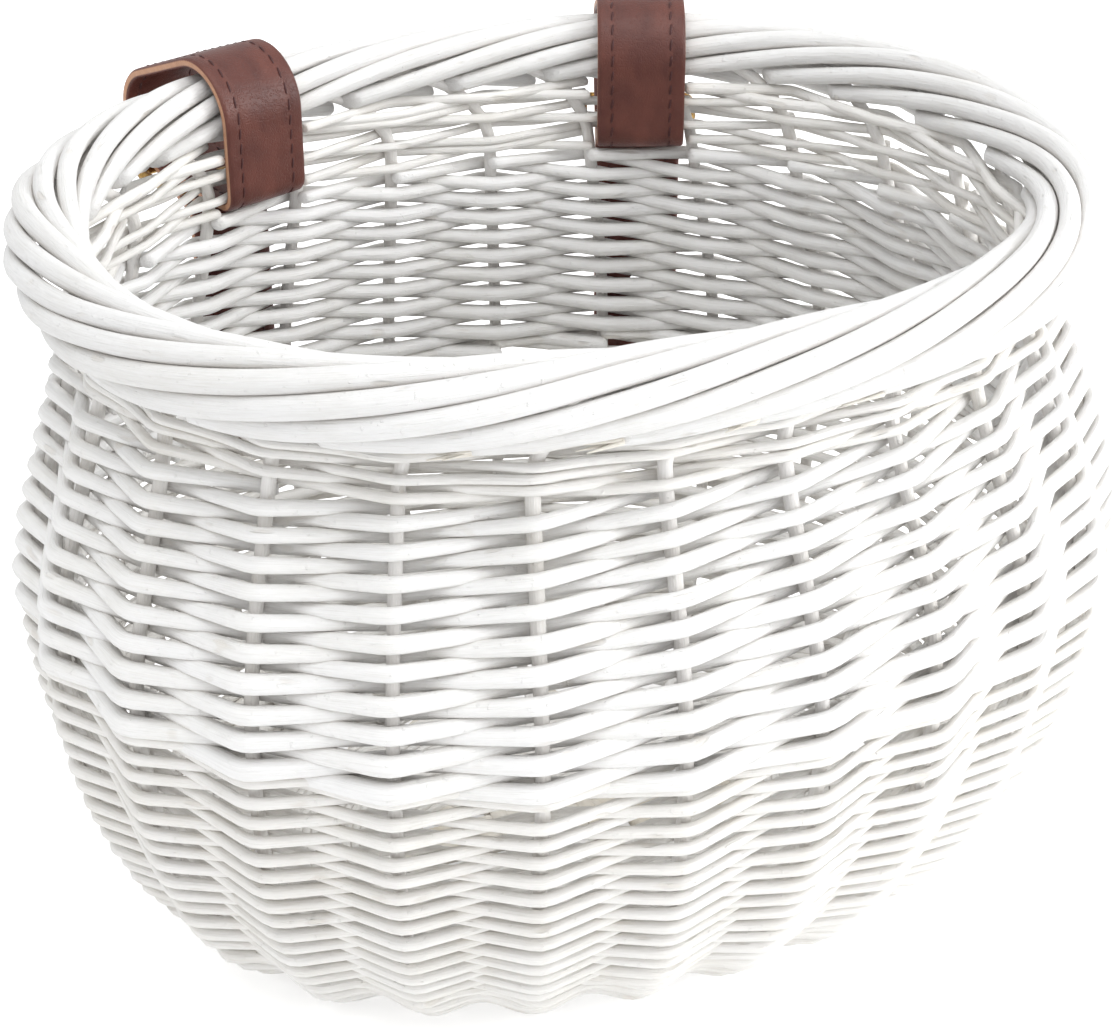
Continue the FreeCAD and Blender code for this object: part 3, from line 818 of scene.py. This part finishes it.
def painted_willow(name, paint, thin_paint, roughness):
    """White paint over peeled willow: fine grain along the rod, thinner and creamier in patches, with
    painted shade in the crevices between rods.
    """
    s = Shader(name)
    grain = s.attribute("grain").outputs["Vector"]
    tone = s.attribute("tone").outputs["Fac"]
    place = s.node("TexCoord").outputs["Object"]
    streaks = s.noise(s.stretched(grain, (0.035, 1.0, 1.0)), 2.4, 5.0, 0.6)
    ripples = s.noise(s.stretched(grain, (0.25, 0.6, 0.6)), 0.5, 2.0)
    knots = s.ramp(s.noise(s.stretched(grain, (0.11, 0.3, 0.3)), 1.0, 0.0), 0.76, 0.84)
    patches = s.ramp(s.noise(place, 55.0, 3.0), 0.42, 0.72)
    # Painted shade: ambient occlusion finds the tight crevices between rods, where shade falls.
    crevice = s.node("AmbientOcclusion", Distance=0.005)
    crevice.samples = 4
    crevice_shade = s.ramp(crevice.outputs["AO"], 0.75, 0.15)
    thin = s.maths("MULTIPLY", patches, s.ramp(streaks, 0.35, 0.75))
    thin = s.maths("ADD", thin, s.maths("MULTIPLY", tone, 0.22))
    brushed = s.ramp(s.noise(s.stretched(grain, (0.05, 2.2, 2.2)), 1.6, 4.0, 0.6), 0.50, 0.74)
    nibs = s.ramp(s.noise(place, 620.0, 2.0), 0.67, 0.74)
    base = s.mix(thin, paint, thin_paint)
    # Painted shade: a grey brown mixed into the paint colour in those crevices.
    base = s.mix(s.maths("MULTIPLY", crevice_shade, 0.25), base, colour(168, 152, 132))
    base = s.mix(s.maths("MULTIPLY", brushed, 0.30), base, colour(203, 200, 193))
    base = s.mix(s.maths("MULTIPLY", knots, 0.16), base, colour(186, 168, 140))
    s.set(s.surface, "Base Color", base)
    s.set(s.surface, "Roughness", s.maths("ADD", s.maths("MULTIPLY", streaks, 0.25), roughness - 0.12))
    s.set(s.surface, "Specular IOR Level", 0.25)
    fine = s.bump(streaks, 0.00035)
    rough = s.bump(ripples, 0.0006, 0.8, fine)
    knotty = s.bump(knots, 0.0003, 1.0, rough)
    s.set(s.surface, "Normal", s.bump(nibs, 0.0002, 0.8, knotty))
    return s.material


def tanned_leather():
    """Smooth brown leather with fine pores and creases, and raw tan edges."""
    s = Shader("strap_leather")
    grain = s.attribute("grain").outputs["Vector"]
    pores = s.node("TexVoronoi", Vector=s.stretched(grain, (1.0, 0.8, 1.0)), Scale=1.9)
    pits = s.ramp(pores.outputs["Distance"], 0.0, 0.55)
    creases = s.noise(s.stretched(grain, (0.35, 0.9, 1.0)), 0.55, 6.0, 0.65)
    shades = s.noise(s.stretched(grain, (0.12, 0.07, 1.0)), 1.0, 3.0)
    skin = s.mix(s.ramp(shades, 0.3, 0.7), colour(80, 41, 35), colour(106, 59, 49))
    skin = s.mix(s.maths("MULTIPLY", s.ramp(creases, 0.62, 0.8), 0.35), skin, colour(124, 78, 65))
    raw = s.mix(creases, colour(170, 118, 88), colour(206, 160, 128))
    edge = s.ramp(s.attribute("edge").outputs["Fac"], 0.55, 0.85)
    s.set(s.surface, "Base Color", s.mix(edge, skin, raw))
    s.set(s.surface, "Roughness", s.maths("ADD", s.maths("MULTIPLY", creases, 0.2), 0.33))
    s.set(s.surface, "Specular IOR Level", 0.45)
    s.set(s.surface, "Normal", s.bump(creases, 0.00025, 0.7, s.bump(pits, 0.00012, 0.8)))
    return s.material


def raw_leather():
    """Cut leather, inside holes and slots."""
    s = Shader("raw_leather")
    fibres = s.noise(s.node("TexCoord").outputs["Object"], 900.0, 4.0)
    s.set(s.surface, "Base Color", s.mix(fibres, colour(150, 100, 76), colour(190, 142, 112)))
    s.set(s.surface, "Roughness", 0.8)
    s.set(s.surface, "Normal", s.bump(fibres, 0.0002))
    return s.material


def waxed_thread():
    """Dark twisted thread."""
    s = Shader("waxed_thread")
    place = s.node("TexCoord").outputs["Object"]
    strands = s.noise(s.stretched(place, (1.0, 1.0, 3.0)), 1800.0, 2.0)
    s.set(s.surface, "Base Color", s.mix(strands, colour(48, 20, 20), colour(84, 38, 36)))
    s.set(s.surface, "Roughness", 0.55)
    s.set(s.surface, "Normal", s.bump(strands, 0.0001))
    return s.material


def aged_brass():
    """Brass with tarnish in patches and fine scratches."""
    s = Shader("buckle_metal")
    place = s.node("TexCoord").outputs["Object"]
    tarnish = s.ramp(s.noise(place, 260.0, 5.0, 0.6), 0.45, 0.7)
    scratches = s.noise(s.stretched(place, (1.0, 0.1, 1.0)), 2500.0, 2.0)
    s.set(s.surface, "Base Color", s.mix(tarnish, colour(186, 150, 88), colour(112, 84, 48)))
    s.set(s.surface, "Metallic", 1.0)
    s.set(s.surface, "Roughness", s.maths("ADD", s.maths("MULTIPLY", tarnish, 0.25), 0.24))
    s.set(s.surface, "Normal", s.bump(scratches, 0.00003))
    return s.material


def painted_stick():
    """The same paint on the straight base sticks, which are shown as they are in the frame."""
    s = Shader("base_willow")
    place = s.node("TexCoord").outputs["Object"]
    streaks = s.noise(place, 420.0, 5.0, 0.6)
    patches = s.ramp(s.noise(place, 60.0, 3.0), 0.4, 0.7)
    s.set(s.surface, "Base Color", s.mix(s.maths("MULTIPLY", patches, streaks), colour(236, 232, 224),
                                         colour(206, 194, 172)))
    s.set(s.surface, "Roughness", 0.6)
    s.set(s.surface, "Normal", s.bump(streaks, 0.0004))
    return s.material


# The border's paint is greyer than the wall's: painted shade for the rolled rim, whose rods are painted the
# same white as the wall.
BORDER_WILLOW = painted_willow("border_willow", colour(236, 236, 236), colour(228, 227, 224), 0.62)
WALL_WILLOW = painted_willow("wall_willow", colour(246, 246, 246), colour(238, 237, 233), 0.65)
FINE_WILLOW = painted_willow("fine_willow", colour(245, 244, 242), colour(234, 231, 224), 0.68)
STAKE_WILLOW = painted_willow("stake_willow", colour(246, 245, 244), colour(236, 233, 226), 0.66)
BASE_WILLOW = painted_stick()
LEATHER = tanned_leather()
RAW_LEATHER = raw_leather()
THREAD = waxed_thread()
BRASS = aged_brass()
SPLINTER_WILLOW = painted_willow("splinter_willow", colour(243, 240, 233), colour(226, 217, 200), 0.7)

french_rand("lower_weavers", 0, lower_levels(), 2.0, 1.7, STAKE_RADIUS + 2.7, FINE_WILLOW, "fine_willow")
french_rand("upper_weavers", 1, upper_levels(), 2.85, 2.15, STAKE_RADIUS + 2.8, WALL_WILLOW, "wall_willow")
wale("bottom_wale", 5.0, 3.0, 12, 1.75, 4.0, FINE_WILLOW)
wale("top_wale", upper_levels()[-1] + SLOT_ABOVE_WEAVERS, 2.75, 5, 1.45, 1.5, FINE_WILLOW)
fill_up_to_border(FINE_WILLOW)
border_rods(BORDER_WILLOW)
splinters(SPLINTER_WILLOW)
stakes(STAKE_WILLOW)
base_pairing(FINE_WILLOW)
for side in ("left", "right"):
    strap_leather(side, LEATHER)
    stitches(side, THREAD)
for name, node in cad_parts.items():
    if name.startswith("base_"):
        node.data.materials.clear()
        node.data.materials.append(BASE_WILLOW)
    if name.startswith("buckle_"):
        node.data.materials.clear()
        node.data.materials.append(BRASS)


# ---------------------------------------------------------------- stage

def floor():
    """A plain white floor, brighter to the camera than to the basket."""
    mesh = bpy.data.meshes.new("floor")
    size = 40.0                             # metres, so that its edge is out of sight
    corners = [(-size, -size, 0), (size, -size, 0), (size, size, 0), (-size, size, 0)]
    mesh.from_pydata(corners, [], [(0, 1, 2, 3)])
    s = Shader("floor")
    s.set(s.surface, "Base Color", (0.92, 0.92, 0.92, 1))
    s.set(s.surface, "Roughness", 0.9)
    s.set(s.surface, "Emission Color", (1, 1, 1, 1))
    seen = s.nodes.new("ShaderNodeLightPath").outputs["Is Camera Ray"]
    s.set(s.surface, "Emission Strength", s.maths("ADD", s.maths("MULTIPLY", seen, 0.4), 0.08))
    mesh.materials.append(s.material)
    plane = bpy.data.objects.new("floor", mesh)
    plane.location.z = -0.0004
    bpy.context.scene.collection.objects.link(plane)


def area_light(name, place, target, size, power):
    """A round soft light that faces its target."""
    light = bpy.data.lights.new(name, "AREA")
    light.shape = "DISK"
    light.size = size
    light.energy = power
    lamp = bpy.data.objects.new(name, light)
    lamp.location = place
    direction = Vector(target) - Vector(place)
    lamp.rotation_euler = direction.to_track_quat("-Z", "Y").to_euler()
    bpy.context.scene.collection.objects.link(lamp)


def camera():
    """A long lens from the front left, looking down."""
    azimuth, elevation, distance = math.radians(-20.9), math.radians(30.16), 0.7529
    target = Vector((-0.0027, MIDDLE_Y * MM, 0.1168))
    away = Vector((math.sin(azimuth) * math.cos(elevation), -math.cos(azimuth) * math.cos(elevation),
                      math.sin(elevation)))
    lens = bpy.data.cameras.new("camera")
    lens.sensor_width = 36.0
    lens.lens = 80.85
    eye = bpy.data.objects.new("camera", lens)
    eye.location = target + away * distance
    eye.rotation_euler = (-away).to_track_quat("-Z", "Y").to_euler()
    bpy.context.scene.collection.objects.link(eye)
    bpy.context.scene.camera = eye


def stage():
    floor()
    camera()
    area_light("key", (1.7, -0.95, 0.8), (0, 0, 0.1), 1.5, 30)
    area_light("fill", (-1.4, -1.7, 0.9), (0, 0, 0.1), 1.6, 1)
    area_light("top", (-0.1, -0.4, 1.9), (0, 0, 0.1), 1.6, 13)
    world = bpy.data.worlds.new("studio")
    world.use_nodes = True
    world.node_tree.nodes["Background"].inputs["Color"].default_value = (1, 1, 1, 1)
    world.node_tree.nodes["Background"].inputs["Strength"].default_value = 0.82
    bpy.context.scene.world = world
    bpy.context.scene.view_settings.view_transform = "Standard"


stage()
